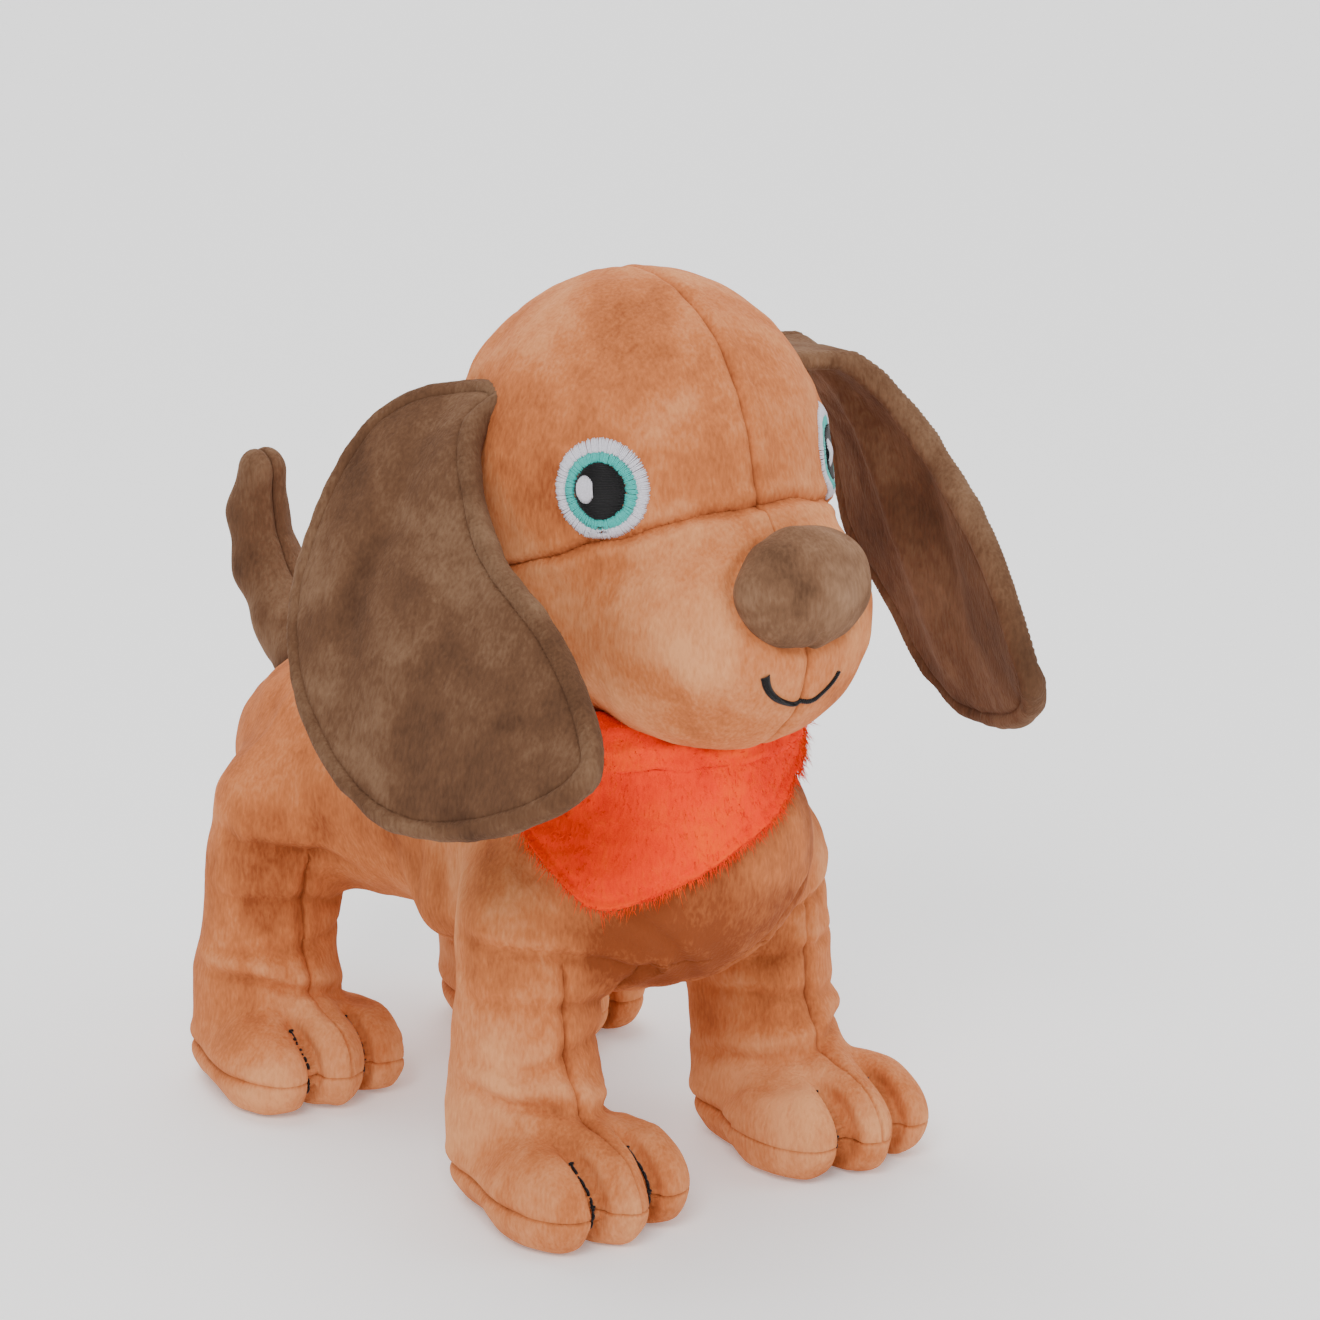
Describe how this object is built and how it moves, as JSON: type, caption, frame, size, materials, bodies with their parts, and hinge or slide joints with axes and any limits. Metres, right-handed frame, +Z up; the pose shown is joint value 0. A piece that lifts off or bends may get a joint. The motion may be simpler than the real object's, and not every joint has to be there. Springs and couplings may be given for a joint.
{
  "type": "plush dog",
  "caption": "Standing stuffed toy dog in short-pile fabric with floppy ears, curved tail, embroidered face and a bandana collar; head, ears, tail and legs move at their seams.",
  "frame": {"origin": "on the floor, under the middle of the dog's overall box", "axes": "+Z up, -Y the way the dog faces, +X the dog's left side"},
  "size_m": [0.1908, 0.2612, 0.2457],
  "materials": {
    "peach_plush": "short dense pile knit, soft sheen, lighter where the pile is brushed",
    "brown_plush": "short dense pile knit, soft sheen, marbled where the pile is brushed",
    "orange_plush": "longer soft pile with shaggy edges",
    "white_thread": "satin stitch",
    "turquoise_thread": "satin stitch",
    "black_thread": "satin stitch",
    "stuffing": "loose polyester fibre fill"
  },
  "bodies": {
    "torso": {"torso_left_panel": "peach_plush", "torso_right_panel": "peach_plush", "belly_panel": "peach_plush", "torso_stuffing": "stuffing"},
    "neck": {"neck_stuffing": "stuffing"},
    "head": {"crown_left": "peach_plush", "crown_right": "peach_plush", "back_of_head": "peach_plush", "muzzle_left": "peach_plush", "muzzle_right": "peach_plush", "nose": "brown_plush", "mouth_embroidery": "black_thread", "head_stuffing": "stuffing", "eye_left_white": "white_thread", "eye_left_iris": "turquoise_thread", "eye_left_pupil": "black_thread", "eye_left_highlight": "white_thread", "eye_right_white": "white_thread", "eye_right_iris": "turquoise_thread", "eye_right_pupil": "black_thread", "eye_right_highlight": "white_thread"},
    "ear_left": {"ear_left_front": "brown_plush", "ear_left_back": "brown_plush"},
    "ear_right": {"ear_right_front": "brown_plush", "ear_right_back": "brown_plush"},
    "bandana": {"bandana_collar": "orange_plush", "bandana_flap": "orange_plush"},
    "tail": {"tail_left_panel": "brown_plush", "tail_right_panel": "brown_plush", "tail_stuffing": "stuffing"},
    "leg_front_right": {"leg_front_right_outer_panel": "peach_plush", "leg_front_right_inner_panel": "peach_plush", "leg_front_right_sole": "peach_plush", "leg_front_right_toe_threads": "black_thread", "leg_front_right_stuffing": "stuffing"},
    "leg_front_left": {"leg_front_left_outer_panel": "peach_plush", "leg_front_left_inner_panel": "peach_plush", "leg_front_left_sole": "peach_plush", "leg_front_left_toe_threads": "black_thread", "leg_front_left_stuffing": "stuffing"},
    "leg_hind_right": {"leg_hind_right_outer_panel": "peach_plush", "leg_hind_right_inner_panel": "peach_plush", "leg_hind_right_sole": "peach_plush", "leg_hind_right_toe_threads": "black_thread", "leg_hind_right_stuffing": "stuffing"},
    "leg_hind_left": {"leg_hind_left_outer_panel": "peach_plush", "leg_hind_left_inner_panel": "peach_plush", "leg_hind_left_sole": "peach_plush", "leg_hind_left_toe_threads": "black_thread", "leg_hind_left_stuffing": "stuffing"}
  },
  "joints": [
    {"name": "head_turn", "type": "hinge", "parent": "torso", "child": "neck", "pos_m": [0, -0.0564, 0.128], "axis": [0, 0, 1], "range_deg": [-20, 20], "stiffness_Nm_per_rad": 0.3},
    {"name": "head_nod", "type": "hinge", "parent": "neck", "child": "head", "pos_m": [0, -0.0564, 0.143], "axis": [1, 0, 0], "range_deg": [-8, 3], "stiffness_Nm_per_rad": 1.5},
    {"name": "ear_left_lift", "type": "hinge", "parent": "head", "child": "ear_left", "pos_m": [0.0467, -0.04081, 0.221], "axis": [-0.258, -0.9661, 0], "range_deg": [0, 80]},
    {"name": "ear_right_lift", "type": "hinge", "parent": "head", "child": "ear_right", "pos_m": [-0.0467, -0.04081, 0.221], "axis": [-0.258, 0.9661, 0], "range_deg": [0, 80]},
    {"name": "tail_wag", "type": "hinge", "parent": "torso", "child": "tail", "pos_m": [0, 0.0916, 0.109], "axis": [0, 0, 1], "range_deg": [-26, 26], "stiffness_Nm_per_rad": 0.05},
    {"name": "bandana_turn", "type": "hinge", "parent": "torso", "child": "bandana", "pos_m": [0, -0.0564, 0.1305], "axis": [0, -0.1392, 0.9903], "range_deg": [-10, 10]},
    {"name": "leg_front_right_swing", "type": "hinge", "parent": "torso", "child": "leg_front_right", "pos_m": [-0.041, -0.0594, 0.076], "axis": [1, 0, 0], "range_deg": [-15, 15], "stiffness_Nm_per_rad": 1},
    {"name": "leg_front_left_swing", "type": "hinge", "parent": "torso", "child": "leg_front_left", "pos_m": [0.041, -0.0594, 0.076], "axis": [1, 0, 0], "range_deg": [-15, 15], "stiffness_Nm_per_rad": 1},
    {"name": "leg_hind_right_swing", "type": "hinge", "parent": "torso", "child": "leg_hind_right", "pos_m": [-0.043, 0.0596, 0.076], "axis": [1, 0, 0], "range_deg": [-15, 15], "stiffness_Nm_per_rad": 1},
    {"name": "leg_hind_left_swing", "type": "hinge", "parent": "torso", "child": "leg_hind_left", "pos_m": [0.043, 0.0596, 0.076], "axis": [1, 0, 0], "range_deg": [-15, 15], "stiffness_Nm_per_rad": 1}
  ]
}
